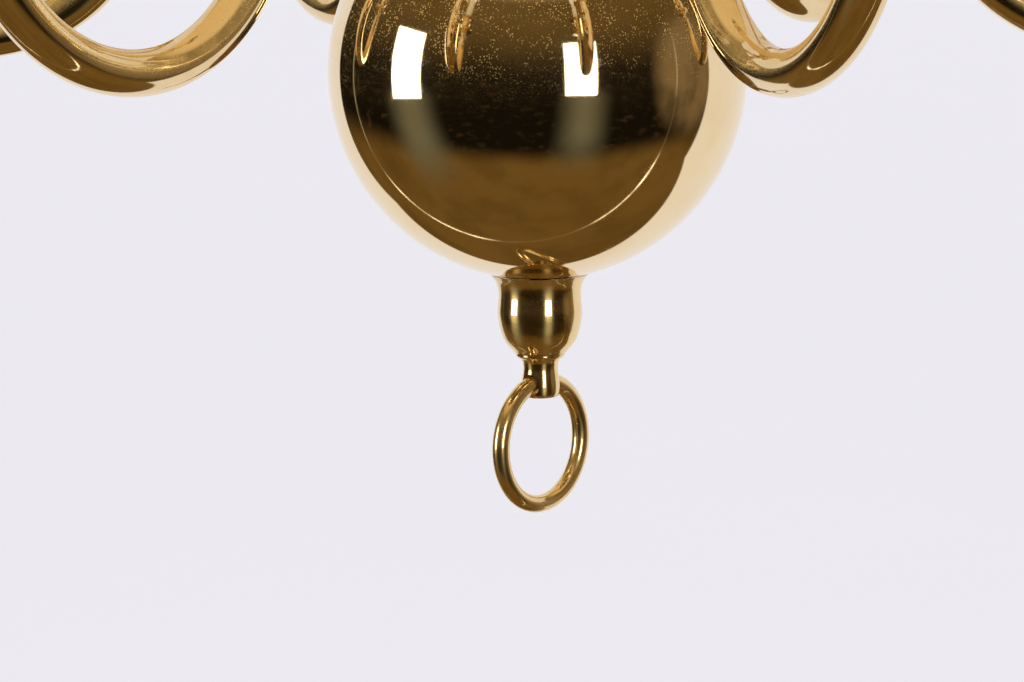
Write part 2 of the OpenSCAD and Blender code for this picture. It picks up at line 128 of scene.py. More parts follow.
class CHAND_PG_arms(bpy.types.PropertyGroup):
    """Sizes of the bent tube arms."""

    tube_radius: FloatProperty(
        name="Tube radius",
        description="Outer radius of the arm tube",
        default=0.011,
        unit="LENGTH",
    )
    bowl_place: FloatProperty(
        name="Bowl place",
        description="Distance of the bowl's lowest point from the axis",
        default=0.299,
        unit="LENGTH",
    )
    bowl_inner: FloatProperty(
        name="Inner bend",
        description="Bend radius of the bowl on the hub side",
        default=0.093,
        unit="LENGTH",
    )
    bowl_outer: FloatProperty(
        name="Outer bend",
        description="Bend radius of the bowl on the candle side",
        default=0.107,
        unit="LENGTH",
    )
    arch_radius: FloatProperty(
        name="Arch bend",
        description="Bend radius of the arch over to the hub",
        default=0.068,
        unit="LENGTH",
    )
    flattening: FloatProperty(
        name="Flattening",
        description="How much the tube flattens where it is bent, as a share of its radius",
        default=0.012,
        min=0.0,
        max=0.05,
        subtype="FACTOR",
    )


class CHAND_PG_finish(bpy.types.PropertyGroup):
    """Finish of the brass."""

    polish: FloatProperty(
        name="Roughness",
        description="Roughness of the polished, lacquered brass",
        default=0.035,
        min=0.0,
        max=1.0,
        subtype="FACTOR",
    )
    dust: FloatProperty(
        name="Dust",
        description="Share of the upward surfaces that fine dust covers",
        default=0.5,
        min=0.0,
        max=1.0,
        subtype="FACTOR",
    )


class CHAND_PG_stage(bpy.types.PropertyGroup):
    """Camera, floor and light."""

    lens: FloatProperty(
        name="Lens",
        description="Focal length of the camera in mm",
        default=121.5,
        min=20.0,
        max=300.0,
    )
    distance: FloatProperty(
        name="Camera distance",
        description="Distance of the camera from the ball's centre",
        default=1.8194,
        unit="LENGTH",
    )
    elevation: FloatProperty(
        name="Camera elevation",
        description="Height of the camera above the ball's centre, as an angle",
        default=math.radians(4.35),
        subtype="ANGLE",
    )
    floor_height: FloatProperty(
        name="Floor height",
        description="Height of the floor below the ceiling",
        default=-2.4,
        unit="LENGTH",
    )
    window_light: FloatProperty(
        name="Light",
        description="Brightness of the two large soft lights",
        default=5.0,
        min=0.0,
        max=50.0,
    )


# ---- Surfaces ----


def smooth(knots, steps=10):
    """Catmull-Rom cubic through the knots: each span blends its two ends and their two neighbours."""
    k = np.array(knots, float)
    padded = np.vstack([k[:1], k, k[-1:]])
    t = (np.arange(steps) / steps)[None, :, None]
    a, b, c, d = (padded[i : len(padded) - 3 + i][:, None, :] for i in range(4))
    curve = 2 * b + (c - a) * t
    curve = curve + (2 * a - 5 * b + 4 * c - d) * t**2 + (3 * b - a - 3 * c + d) * t**3
    return np.vstack([0.5 * curve.reshape(-1, 2), k[-1:]])


def line(*points):
    """Straight-sided part of a profile."""
    return np.array(points, float)


def grid_faces(rows, columns, wrap_rows):
    """Quads of a grid whose columns close on themselves, and whose rows may."""
    i = np.arange(rows if wrap_rows else rows - 1)[:, None]
    j = np.arange(columns)[None, :]
    k, m = (i + 1) % rows, (j + 1) % columns
    quads = np.stack([i * columns + j, i * columns + m, k * columns + m, k * columns + j], -1)
    return quads.reshape(-1, 4)


def revolve(*parts, segments=None):
    """Profile turned round Z: point (r cos a, r sin a, z) for each profile point and angle.

    Both ends are closed with a fan on the axis. Returns vertices in mm and a list of face arrays.
    """
    profile = np.vstack(parts)
    n = segments or bpy.context.scene.chand_turned.segments
    a = np.arange(n) * 2 * np.pi / n
    r, z = profile[:, :1], profile[:, 1:]
    ring = np.stack([r * np.cos(a), r * np.sin(a), z + 0 * a], -1).reshape(-1, 3)
    ends = np.array([[0, 0, profile[0, 1]], [0, 0, profile[-1, 1]]])
    verts = np.vstack([ring, ends])
    first = np.arange(n)
    nxt = (first + 1) % n
    last = (len(profile) - 1) * n
    low = np.stack([nxt, first, np.full(n, len(ring))], -1)
    high = np.stack([first + last, nxt + last, np.full(n, len(ring) + 1)], -1)
    return verts, [grid_faces(len(profile), n, False), low, high]


def sweep(path, radius, sides=48, closed=False, squash=None):
    """Round section carried along a path in the X-Z plane.

    Each ring is centre + radius (cos a * in-plane normal + sin a * Y); squash shortens the in-plane part.
    Open ends are closed with a fan. Returns vertices and a list of face arrays.
    """
    p = np.asarray(path, float)
    n = len(p)
    tangent = np.roll(p, -1, 0) - np.roll(p, 1, 0) if closed else np.gradient(p, axis=0)
    tangent /= np.linalg.norm(tangent, axis=1, keepdims=True)
    normal = np.stack([tangent[:, 1], -tangent[:, 0]], -1)
    a = np.arange(sides) * 2 * np.pi / sides
    short = np.ones(n) if squash is None else 1 - squash
    wide = np.ones(n) if squash is None else 1 + squash
    out = radius * short[:, None] * np.cos(a)
    side = radius * wide[:, None] * np.sin(a)
    ring = np.stack([p[:, :1] + out * normal[:, :1], side, p[:, 1:] + out * normal[:, 1:]], -1)
    ring = ring.reshape(-1, 3)
    faces = [grid_faces(n, sides, closed)]
    if closed:
        return ring, faces
    ends = np.array([[p[0, 0], 0, p[0, 1]], [p[-1, 0], 0, p[-1, 1]]])
    first = np.arange(sides)
    nxt = (first + 1) % sides
    last = (n - 1) * sides
    faces.append(np.stack([nxt, first, np.full(sides, len(ring))], -1))
    faces.append(np.stack([first + last, nxt + last, np.full(sides, len(ring) + 1)], -1))
    return np.vstack([ring, ends]), faces


def outward(verts, faces):
    """Turns the faces over if the closed surface's signed volume is negative."""
    total = 0.0
    for f in faces:
        for k in range(1, f.shape[1] - 1):
            a, b, c = verts[f[:, 0]], verts[f[:, k]], verts[f[:, k + 1]]
            total += np.einsum("ij,ij->", a, np.cross(b, c))
    return faces if total > 0 else [f[:, ::-1] for f in faces]


def turned(verts, angle):
    """Vertices turned about Z."""
    c, s = math.cos(angle), math.sin(angle)
    return verts @ np.array([[c, s, 0], [-s, c, 0], [0, 0, 1]])


def sideways(verts):
    """Vertices of a piece drawn along Z, laid along +X."""
    return verts[:, [2, 1, 0]] * np.array([1, 1, -1])


def join(surfaces):
    """Several closed surfaces as one, each turned to face outwards."""
    verts, faces, start = [], [], 0
    for v, f in surfaces:
        verts.append(v)
        faces += [part + start for part in outward(v, f)]
        start += len(v)
    return np.vstack(verts), faces


def piece(name, surfaces, body, nodes, material, crease=32, from_ball=True):
    """Makes one object out of closed surfaces given in mm, at the origin, riding on a body."""
    verts, faces = join(surfaces)
    if from_ball:
        verts = verts + np.array([0, 0, BALL_Z / MM])
    if not np.isfinite(verts).all():
        raise RuntimeError(f"{name} has a point that is not a number")
    mesh = bpy.data.meshes.new(name)
    mesh.from_pydata((verts * MM).tolist(), [], [face for part in faces for face in part.tolist()])
    mesh.polygons.foreach_set("use_smooth", np.ones(len(mesh.polygons), bool))
    mesh.set_sharp_from_angle(angle=math.radians(crease))
    mesh.update()
    obj = bpy.data.objects.new(name, mesh)
    bpy.context.collection.objects.link(obj)
    mesh.materials.append(material)
    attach(obj, body)
    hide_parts(*nodes)
    return obj


def on_arm(surface, i, out=0.0):
    """A surface drawn in the X-Z plane, moved out along X and turned to arm i."""
    verts, faces = surface
    return turned(verts + np.array([out, 0, 0]), arm_turn(i)), faces


def arc(centre, radius, start, end, step=1.5):
    """Points of an arc in the X-Z plane; angles in degrees."""
    a = np.radians(np.linspace(start, end, max(2, int(abs(end - start) / step) + 1)))
    return np.stack([centre[0] + radius * np.cos(a), centre[1] + radius * np.sin(a)], -1)


# ---- Finishes ----


def srgb(text, alpha=1.0):
    """Linear colour from an sRGB hex string."""
    c = np.array([int(text[i : i + 2], 16) / 255 for i in (1, 3, 5)])
    lin = np.where(c <= 0.04045, c / 12.92, ((c + 0.055) / 1.055) ** 2.4)
    return (*lin.tolist(), alpha)


def add(tree, kind, inputs=None, **settings):
    """Adds a shader node. An input's value is a constant, or a socket to link from."""
    made = tree.nodes.new(kind)
    for key, value in settings.items():
        setattr(made, key, value)
    for key, value in (inputs or {}).items():
        if isinstance(value, bpy.types.NodeSocket):
            tree.links.new(value, made.inputs[key])
        else:
            made.inputs[key].default_value = value
    return made


def noise(tree, vector, size_mm, detail=3.0, rough=0.5):
    """Noise whose features are about size_mm across."""
    values = {"Vector": vector, "Scale": 1 / (size_mm * MM), "Detail": detail, "Roughness": rough}
    return add(tree, "ShaderNodeTexNoise", values).outputs["Fac"]


def remap(tree, value, low, high, to_low=0.0, to_high=1.0, smooth_step=True):
    """Value moved from low..high to to_low..to_high, held at the ends."""
    kind = "SMOOTHSTEP" if smooth_step else "LINEAR"
    ports = {"Value": value, "From Min": low, "From Max": high, "To Min": to_low, "To Max": to_high}
    return add(tree, "ShaderNodeMapRange", ports, interpolation_type=kind).outputs["Result"]


def math_node(tree, operation, a, b=0.0):
    return add(tree, "ShaderNodeMath", {0: a, 1: b}, operation=operation).outputs[0]


def mixed(tree, factor, a, b):
    """Colour a turning into colour b as the factor goes from 0 to 1."""
    made = add(tree, "ShaderNodeMix", data_type="RGBA")
    for index, value in ((0, factor), (6, a), (7, b)):
        if isinstance(value, bpy.types.NodeSocket):
            tree.links.new(value, made.inputs[index])
        else:
            made.inputs[index].default_value = value
    return made.outputs[2]


def material(name):
    """An empty node material and its tree."""
    made = bpy.data.materials.new(name)
    made.use_nodes = True
    made.node_tree.nodes.clear()
    return made, made.node_tree


def finish(tree, surface):
    add(tree, "ShaderNodeOutputMaterial", {"Surface": surface})


# Distance between dust specks, in mm
SPECK_PITCH = 1.25


def brass(
    name, wave_mm, wave_height, brushed=(1, 1, 1), dust=0.0, veil=0.0, warm=0.25, haze=0.0, grooved=0.0
):
    """Polished brass under clear lacquer.

    wave_mm and wave_height: the slow unevenness that the buffing wheel leaves, which bends reflections.
    brushed: how much the polishing lines are squeezed along each axis.
    dust and veil: how strongly specks and a film of dust cover the upward side.
    warm: how strong the redder patches are.
    haze: the share of light that fine scratches spread.
    grooved: 0 to 1, how far those scratches run round the Z axis, which draws highlights out up and down.
    """
    made, tree = material(name)
    style = bpy.context.scene.chand_finish
    place = add(tree, "ShaderNodeTexCoord")
    at = place.outputs["Object"]
    # Slightly redder patches a few centimetres across keep the metal from looking like one flat colour
    tarnish = remap(tree, noise(tree, at, 45, 4), 0.45, 0.75, 0, warm)
    colour = mixed(tree, tarnish, srgb("#F5DDAE"), srgb("#E8BE7C"))
    # Finger and cloth smudges widen the reflections in soft patches
    smudge = remap(tree, noise(tree, at, 14, 5, 0.6), 0.5, 0.8, style.polish, style.polish + 0.05)
    # Hairlines of the polishing mop, only just visible in the highlights
    along = add(tree, "ShaderNodeMapping", {"Vector": at, "Scale": brushed}).outputs[0]
    hair = noise(tree, along, 0.9, 4, 0.6)
    rough = math_node(tree, "ADD", smudge, math_node(tree, "MULTIPLY", hair, 0.02))
    # Slow waves first, then hairlines on top of them
    low = {"Height": noise(tree, at, wave_mm, 2), "Strength": 1.0, "Distance": wave_height * MM}
    waves = add(tree, "ShaderNodeBump", low).outputs[0]
    deep = (0.004 + 0.01 * grooved) * MM
    high = {"Height": hair, "Strength": 0.35, "Distance": deep, "Normal": waves}
    lines = add(tree, "ShaderNodeBump", high).outputs[0]

    def lobe(tone, roughness):
        ports = {"Base Color": tone, "Metallic": 1.0, "Roughness": roughness, "Normal": lines}
        return add(tree, "ShaderNodeBsdfPrincipled", ports)

    metal = lobe(colour, rough).outputs[0]
    if haze:
        # Scratch haze: a wide second reflection that lifts the dark parts and softens the lights' edges
        spread = lobe(srgb("#F6D083"), remap(tree, noise(tree, at, 8, 3), 0.3, 0.7, 0.26, 0.36))
        if grooved:
            spread.inputs["Anisotropic"].default_value = grooved
            spread.inputs["Anisotropic Rotation"].default_value = 0.25
            tree.links.new(add(tree, "ShaderNodeTangent").outputs[0], spread.inputs["Tangent"])
        metal = add(tree, "ShaderNodeMixShader", {0: haze, 1: metal, 2: spread.outputs[0]}).outputs[0]
    if dust:
        # Fine pale specks, thickest on the upward side, with a thin film between them
        up = add(tree, "ShaderNodeSeparateXYZ", {0: place.outputs["Normal"]}).outputs[2]
        upward = remap(tree, up, -0.15, 0.4)
        cells = add(tree, "ShaderNodeTexVoronoi", {"Vector": at, "Scale": 1 / (SPECK_PITCH * MM)})
        cells = cells.outputs["Distance"]
        patches = remap(tree, noise(tree, at, 9, 2, 0.6), 0.35, 0.65, 0.12, 0.31)
        speck = remap(tree, math_node(tree, "SUBTRACT", patches, cells), 0.0, 0.04, 0, dust)
        film = remap(tree, noise(tree, at, 30, 5, 0.6), 0.3, 0.75, 0.5 * veil, 1.5 * veil)
        amount = math_node(tree, "MULTIPLY", math_node(tree, "MAXIMUM", speck, film), upward)
        amount = math_node(tree, "MULTIPLY", amount, 2 * style.dust)
        powder = add(tree, "ShaderNodeBsdfDiffuse", {"Color": srgb("#F6CE7E")}).outputs[0]
        metal = add(tree, "ShaderNodeMixShader", {0: amount, 1: metal, 2: powder}).outputs[0]
    finish(tree, metal)
    return made


def plain(name, colour, deep, rough, grain_mm, metal=0.0, height_mm=0.01, coat=0.0, soft=0.0):
    """A finish with one colour that drifts to a second, even gloss and a fine surface grain."""
    made, tree = material(name)
    at = add(tree, "ShaderNodeTexCoord").outputs["Object"]
    grain = noise(tree, at, grain_mm, 4, 0.6)
    tone = mixed(tree, remap(tree, noise(tree, at, 12, 3), 0.35, 0.75), srgb(colour), srgb(deep))
    skin = {"Height": grain, "Strength": 0.5, "Distance": height_mm * MM}
    ports = {
        "Base Color": tone,
        "Metallic": metal,
        "Roughness": remap(tree, grain, 0.3, 0.7, rough * 0.85, rough * 1.2),
        "Normal": add(tree, "ShaderNodeBump", skin).outputs[0],
        "Coat Weight": coat,
    }
    if soft:
        ports["Subsurface Weight"] = soft
        ports["Subsurface Radius"] = (0.004, 0.003, 0.002)
    finish(tree, add(tree, "ShaderNodeBsdfPrincipled", ports).outputs[0])
    return made


def named(name, make, **settings):
    """The material of that name, made on first use."""
    return bpy.data.materials.get(name) or make(name, **settings)


def spun_brass():
    # Ball: spun to a mirror, so the room shows in it; specks and a film of dust on its upper side
    return named(
        "spun_brass_mirror_polished",
        brass,
        wave_mm=26,
        wave_height=0.012,
        brushed=(0.2, 0.2, 3),
        dust=0.8,
        veil=0.04,
    )


def turned_brass():
    # Lathe-turned pieces: bright, with polishing lines round them that draw the lights out up and down
    return named(
        "turned_brass_polished",
        brass,
        wave_mm=10,
        wave_height=0.03,
        brushed=(0.3, 0.3, 4),
        dust=0.3,
        veil=0.05,
        warm=0.1,
        haze=0.5,
        grooved=0.9,
    )


def drawn_brass():
    # Arms: drawn tube, bent and mopped by hand; reflections waver along the bend, dust dulls the top
    return named(
        "drawn_brass_tube_bent_polished",
        brass,
        wave_mm=16,
        wave_height=0.03,
        dust=0.9,
        veil=0.45,
        warm=0.4,
        haze=0.12,
    )


def bent_wire_brass():
    # Ring and chain: bent round bar, buffed less evenly, which breaks its highlights into soft streaks
    return named(
        "bent_brass_wire_buffed",
        brass,
        wave_mm=8,
        wave_height=0.045,
        dust=0.4,
        veil=0.1,
        warm=0.1,
        haze=0.58,
    )


def zinc_steel():
    # Zinc-plated steel hardware: grey, half dull, with a fine spangle
    look = {"colour": "#B9BCC0", "deep": "#9DA0A6", "rough": 0.34, "grain_mm": 1.5, "metal": 1.0}
    return named("zinc_plated_steel", plain, **look)


def ivory_plastic():
    # Moulded lampholder and terminal plastic: warm white, faint orange peel
    look = {"colour": "#EAE4D4", "deep": "#DED6C2", "rough": 0.42, "grain_mm": 0.8, "height_mm": 0.012}
    return named("moulded_ivory_plastic", plain, **look)


def lead_sheath():
    # Extruded lead sheath: cream, a little duller
    look = {"colour": "#E4D9B8", "deep": "#D6C9A2", "rough": 0.5, "grain_mm": 1.2}
    return named("extruded_pvc_lead", plain, **look)


def candle_card():
    # Candle tube: wax-coloured satin tube, light sinks a little way in
    look = {"colour": "#F3EBD6", "deep": "#EADFC2", "rough": 0.38, "grain_mm": 2.5, "height_mm": 0.02}
    return named("waxed_candle_tube", plain, soft=0.15, **look)


def rolled_cap():
    # Bulb cap: rolled aluminium, bright with fine grain
    look = {"colour": "#D5D6D8", "deep": "#C2C3C6", "rough": 0.26, "grain_mm": 0.9, "metal": 1.0}
    return named("rolled_aluminium_cap", plain, height_mm=0.006, **look)


def opal_glass():
    # Opal bulb: white glass, smooth skin with a soft glow from light inside the wall
    look = {"colour": "#F7F4EE", "deep": "#F1ECE2", "rough": 0.12, "grain_mm": 18}
    return named("blown_opal_glass", plain, coat=0.4, soft=0.3, **look)


# ---- Pieces ----


class ChandelierOperator:
    """What every operator here shares."""

    bl_options = {"REGISTER", "UNDO"}


class CHAND_OT_ball(ChandelierOperator, bpy.types.Operator):
    """Spun ball and the waisted neck that seats it under the hub"""

    bl_idname = "chand.ball"
    bl_label = "Ball and Neck"

    def execute(self, context):
        r = context.scene.chand_turned.ball_radius / MM
        flat = height("ball", 1)
        tip = math.asin(flat / r)
        a = np.linspace(-tip, tip, 160)
        side = np.stack([r * np.cos(a), r * np.sin(a)], -1)
        ball = revolve(side, segments=256)
        piece("ball_surface", [ball], BODY, ["ball"], spun_brass())
        top = height("ball_neck", 1)
        edge = 31.0
        seat = math.sqrt(r * r - edge * edge) + 0.3
        neck = revolve(
            line((14, flat), (14, flat + 1.5), (29, seat + 2), (edge - 1, seat), (edge, seat)),
            smooth(
                [
                    (edge + 0.5, seat + 1.5),
                    (edge - 2, seat + 4),
                    (20, seat + 8),
                    (17, seat + 12.5),
                    (20, seat + 17.5),
                    (28, seat + 21.3),
                ]
            ),
            line((33, top - 2), (33.5, top)),
        )
        piece("ball_neck_surface", [neck], BODY, ["ball_neck"], turned_brass())
        return {"FINISHED"}


class CHAND_OT_finial(ChandelierOperator, bpy.types.Operator):
    """Flared cup, bead disc and drilled boss under the ball"""

    bl_idname = "chand.finial"
    bl_label = "Finial"

    def execute(self, context):
        low, high = height("bottom_cup", 0), height("bead_disc", 0)
        lip = -107.3
        cup = revolve(
            line((14, low)),
            smooth(
                [
                    (14.9, -147.8),
                    (18.6, -143.4),
                    (20.8, -138),
                    (22.1, -132),
                    (22.5, -127),
                    (22.1, -122),
                    (21.9, -118),
                    (22.3, -114.4),
                    (23.4, -111),
                    (25.2, -108.4),
                ]
            ),
            line((26.1, lip - 0.15), (26.2, lip), (25.5, lip - 0.1), (20, -109.3)),
        )
        piece("bottom_cup_surface", [cup], BODY, ["bottom_cup"], turned_brass())
        bead = revolve(
            line((10.6, high)),
            smooth([(11.6, -152.2), (12.7, -151.3), (13.1, -150.4), (12.8, -149.5)]),
            line((11.8, low)),
        )
        piece("bead_disc_surface", [bead], BODY, ["bead_disc"], turned_brass())
        base = height("ring_boss", 0)
        boss = revolve(
            smooth(
                [
                    (2, base),
                    (6, base + 0.05),
                    (8.4, -173.1),
                    (9.6, -172),
                    (10.1, -169.5),
                    (10.1, -166),
                    (9.7, -162),
                    (9.2, -158),
                    (9.6, -154.5),
                ]
            ),
            line((10.6, high)),
        )
        cutter, faces = revolve(line((HOLE_R, -15), (HOLE_R, 15)), segments=96)
        cutter = turned(sideways(cutter), RING_TURN) + np.array([0, 0, HOLE_Z])
        body = piece("ring_boss_surface", [boss], BODY, ["ring_boss"], turned_brass())
        drill(body, cutter, faces)
        return {"FINISHED"}


# Axis of the ring's cross hole and its radius; the ring's top wire hangs this slack above the axis
HOLE_Z = -166.2
HOLE_R = 5.95
RING_SLACK = 1.0


def drill(obj, verts, faces):
    """Cuts a closed surface, given in mm from the ball, out of an object, and keeps the plain mesh."""
    mesh = bpy.data.meshes.new("drill")
    verts = (verts + np.array([0, 0, BALL_Z / MM])) * MM
    shape = [face for part in outward(verts, faces) for face in part.tolist()]
    mesh.from_pydata(verts.tolist(), [], shape)
    tool = bpy.data.objects.new("drill", mesh)
    bpy.context.collection.objects.link(tool)
    cut = obj.modifiers.new("hole", "BOOLEAN")
    cut.operation = "DIFFERENCE"
    cut.solver = "EXACT"
    cut.object = tool
    graph = bpy.context.evaluated_depsgraph_get()
    result = bpy.data.meshes.new_from_object(obj.evaluated_get(graph))
    obj.modifiers.clear()
    bpy.data.objects.remove(tool)
    bpy.data.meshes.remove(mesh)
    if len(result.polygons) < 100:
        raise RuntimeError(f"the hole in {obj.name} failed")
    old, obj.data = obj.data, result
    bpy.data.meshes.remove(old)
    result.polygons.foreach_set("use_smooth", np.ones(len(result.polygons), bool))
    result.set_sharp_from_angle(angle=math.radians(32))


class CHAND_OT_ring(ChandelierOperator, bpy.types.Operator):
    """Pull ring through the boss"""

    bl_idname = "chand.ring"
    bl_label = "Pull Ring"

    def execute(self, context):
        style = context.scene.chand_turned
        radius, wire = style.ring_radius / MM, style.ring_wire / MM
        path = arc((0, HOLE_Z - radius + RING_SLACK), radius, 0, 358, 2)
        verts, faces = sweep(path, wire, 48, closed=True)
        ring = (turned(verts, RING_TURN), faces)
        piece("pull_ring_surface", [ring], "ring", ["pull_ring"], bent_wire_brass())
        return {"FINISHED"}


class CHAND_OT_arms(ChandelierOperator, bpy.types.Operator):
    """Six bent tube arms"""

    bl_idname = "chand.arms"
    bl_label = "Arms"

    def execute(self, context):
        style = context.scene.chand_arms
        tube = style.tube_radius / MM
        place = style.bowl_place / MM
        inner, outer = style.bowl_inner / MM, style.bowl_outer / MM
        arch = style.arch_radius / MM
        strand = place - inner
        bottom = height("arm_1", 0) + tube
        arch_z = height("arm_1", 1) - tube - arch
        root_x = 49.0
        lean = math.degrees(math.asin(0.8))
        root = (strand - arch - root_x) / 0.8 - arch
        hub_z = arch_z + arch * 0.6 - root * 0.4
        legs = [
            (arc((root_x, hub_z + root), root, -90, lean - 90), root),
            (arc((strand - arch, arch_z), arch, lean + 90, 0), arch),
            (arc((place, bottom + inner), inner, 180, 270), inner),
            (arc((place, bottom + outer), outer, 270, 360), outer),
        ]
        end = line((place + outer, height("arm_end_collars", 1) - 3.2))
        # The second and fourth legs start where the one before them ends
        legs = [(leg[1:] if i in (1, 3) else leg, r) for i, (leg, r) in enumerate(legs)]
        path = np.vstack([leg for leg, _ in legs] + [end])
        bend = np.concatenate([np.full(len(leg), 60 / r) for leg, r in legs] + [[0]])
        # The flattening fades in and out over a few rings, as it does on a bending roller
        kernel = np.hanning(15)
        bend = np.convolve(np.pad(bend, 7, "edge"), kernel / kernel.sum(), "valid")
        for i in ARMS:
            tube_surface = on_arm(sweep(path, tube, 56, squash=bend * style.flattening), i)
            piece(f"arm_{i}_surface", [tube_surface], BODY, [f"arm_{i}"], drawn_brass())
        return {"FINISHED"}


class CHAND_OT_collars(ChandelierOperator, bpy.types.Operator):
    """Turned collars at the arms' roots, joints and ends"""

    bl_idname = "chand.collars"
    bl_label = "Arm Collars"

    def execute(self, context):
        hub_z = (height("arm_root_collars", 0) + height("arm_root_collars", 1)) / 2
        lip = smooth([(14, 0.8), (14, 2), (12.8, 3.4)])
        collar = revolve(line((13, 0)), lip, line((12, 5)), segments=96)
        lying = (sideways(collar[0]) + np.array([44, 0, hub_z]), collar[1])
        roots = [on_arm(lying, i) for i in ARMS]
        piece("arm_root_collars_surface", roots, BODY, ["arm_root_collars"], turned_brass())
        style = context.scene.chand_arms
        strand = (style.bowl_place - style.bowl_inner) / MM
        low = height("arm_ferrules", 0)
        beads = ((12.6, 0.8), (12.6, 2.4), (12, 4), (12.6, 5.6), (12.6, 7.2))
        ring = revolve(
            line((11.0, low), (11.6, low)),
            smooth([(r, low + up) for r, up in beads]),
            line((11.6, low + 8), (11.0, low + 8)),
            segments=96,
        )
        ferrules = [on_arm(ring, i, strand) for i in ARMS]
        piece("arm_ferrules_surface", ferrules, BODY, ["arm_ferrules"], turned_brass())
        top = height("arm_end_collars", 1)
        cap = revolve(
            line((12, top - 8.5)),
            smooth([(13.2, top - 7.4), (13.2, top - 4.6), (11.8, top - 3), (10.6, top - 1.6)]),
            line((10, top)),
            segments=96,
        )
        ends = [on_arm(cap, i, CANDLE_R) for i in ARMS]
        piece("arm_end_collars_surface", ends, BODY, ["arm_end_collars"], turned_brass())
        return {"FINISHED"}


class CHAND_OT_stem(ChandelierOperator, bpy.types.Operator):
    """Hub, hub cap, vase, knop and bell of the stem"""

    bl_idname = "chand.stem"
    bl_label = "Hub and Stem"

    def execute(self, context):
        low, top = height("hub", 0), height("hub", 1)
        cap = height("hub_cap", 1)
        vase = height("stem_vase", 1)
        knop = height("stem_knop", 1)
        bell = height("stem_cap", 1)
        hub_z = (height("arm_root_collars", 0) + height("arm_root_collars", 1)) / 2
        drum = revolve(
            line((34, low)),
            smooth([(37, low + 1), (40.5, low + 4), (42, low + 7)]),
            smooth([(42, top - 6), (41, top - 2)], 4),
            line((40, top)),
        )
        boss = revolve(line((15, 0), (15, 5.6), (14.6, 6)), segments=96)
        bosses = [on_arm((sideways(boss[0]) + np.array([38, 0, hub_z]), boss[1]), i) for i in ARMS]
        piece("hub_surface", [drum, *bosses], BODY, ["hub"], turned_brass())
        lid = revolve(
            line((40, top)),
            smooth([(41, top + 1.5), (39, top + 3), (32, top + 5), (25, top + 8)]),
            line((23.5, cap)),
        )
        piece("hub_cap_surface", [lid], BODY, ["hub_cap"], turned_brass())
        belly = revolve(
            line((22, cap)),
            smooth(
                [
                    (22.5, cap + 2),
                    (20, cap + 5),
                    (12, cap + 12),
                    (12, cap + 18),
                    (22, cap + 34),
                    (29, cap + 56),
                    (22, cap + 78),
                    (11, cap + 95),
                    (12, cap + 102),
                    (16, cap + 106),
                ]
            ),
            line((14, vase)),
        )
        piece("stem_vase_surface", [belly], BODY, ["stem_vase"], turned_brass())
        knob = revolve(
            line((13, vase), (14.5, vase + 2)),
            smooth([(14, vase + 4), (20, vase + 9), (24, vase + 22), (20, vase + 35), (14, vase + 40)]),
            line((14.5, knop - 2), (13, knop)),
        )
        piece("stem_knop_surface", [knob], BODY, ["stem_knop"], turned_brass())
        crown = revolve(
            line((13, knop)),
            smooth(
                [
                    (15, knop + 2),
                    (25, knop + 5),
                    (28, knop + 9),
                    (25, knop + 14),
                    (15, knop + 24),
                    (11, knop + 34),
                    (14, knop + 40),
                    (11, knop + 45),
                ]
            ),
            line((10, bell)),
        )
        piece("stem_cap_surface", [crown], BODY, ["stem_cap"], turned_brass())
        return {"FINISHED"}


class CHAND_OT_suspension(ChandelierOperator, bpy.types.Operator):
    """Ceiling rose and the three chain links"""

    bl_idname = "chand.suspension"
    bl_label = "Ceiling Rose and Chain"

    def execute(self, context):
        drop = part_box("canopy")[0].z / MM
        rose = revolve(
            line((14, drop)),
            smooth([(14, drop + 2), (18, -40), (30, -34), (48, -24), (58, -10), (60, -5)]),
            line((62, -3.5), (62, -0.1), (60.8, -0.1), (60.8, -3.4)),
            smooth(
                [(58.6, -5.4), (56.9, -10), (47, -22.8), (29.4, -32.7), (17.6, -38.6), (13, drop + 3)]
            ),
            line((12.8, drop + 1.2)),
        )
        piece(
            "canopy_surface", [rose], "ceiling", ["canopy"], spun_brass(), from_ball=False
        )
        for n in (1, 2, 3):
            node = f"chain_link_{n}"
            low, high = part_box(node)
            wire = 2.5
            half = 10.0
            top = high.z / MM - wire - half
            bottom = low.z / MM + wire + half
            path = np.vstack([arc((0, top), half, 0, 180, 5), arc((0, bottom), half, 180, 360, 5)])
            verts, faces = sweep(path, wire, 32, closed=True)
            across = math.pi / 2 if high.y > high.x else 0.0
            link = (turned(verts, across), faces)
            finish_of = bent_wire_brass()
            piece(f"{node}_surface", [link], f"link_{n}", [node], finish_of, from_ball=False)
        return {"FINISHED"}


